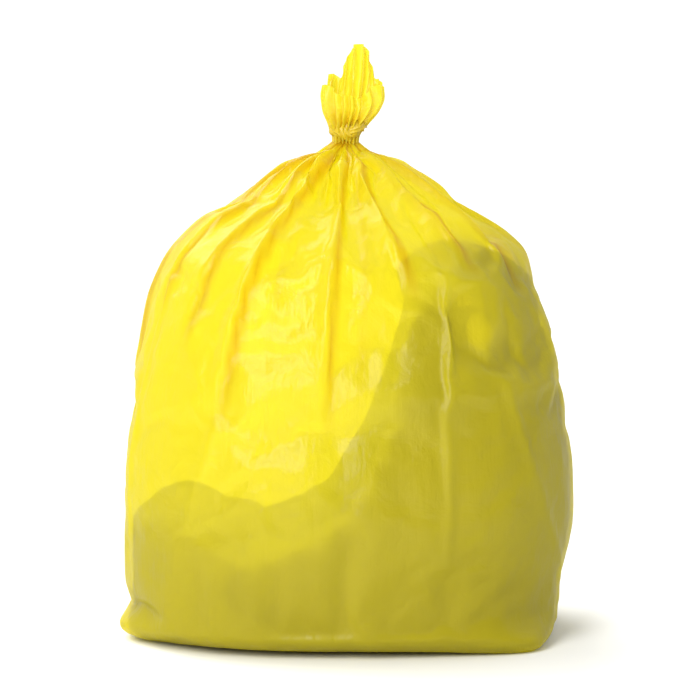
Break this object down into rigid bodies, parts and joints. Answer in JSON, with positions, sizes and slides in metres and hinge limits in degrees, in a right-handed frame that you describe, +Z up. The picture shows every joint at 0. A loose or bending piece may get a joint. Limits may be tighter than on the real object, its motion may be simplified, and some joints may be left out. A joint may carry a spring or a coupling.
{
  "type": "bin bag",
  "caption": "Filled bin bag of translucent yellow plastic film, slumped on the floor, its neck gathered, knotted and flared into a tuft.",
  "frame": {"origin": "middle of the bag's footprint, on the floor", "axes": "+Z up through the neck, +X to the bag's right as the picture shows it, -Y towards the viewer"},
  "size_m": [0.4998, 0.4276, 0.645],
  "materials": {
    "bag_film": "thin translucent yellow polythene film, soft sheen",
    "waste_core": "dull mixed paper and wrappings",
    "waste_carton": "plain brown carton board",
    "waste_tub": "pale moulded plastic, slightly worn",
    "waste_packet": "crumpled paper"
  },
  "bodies": {
    "root": {"bag_film": "bag_film", "waste_core": "waste_core", "waste_carton": "waste_carton", "waste_tub": "waste_tub", "waste_packet": "waste_packet"}
  },
  "joints": []
}
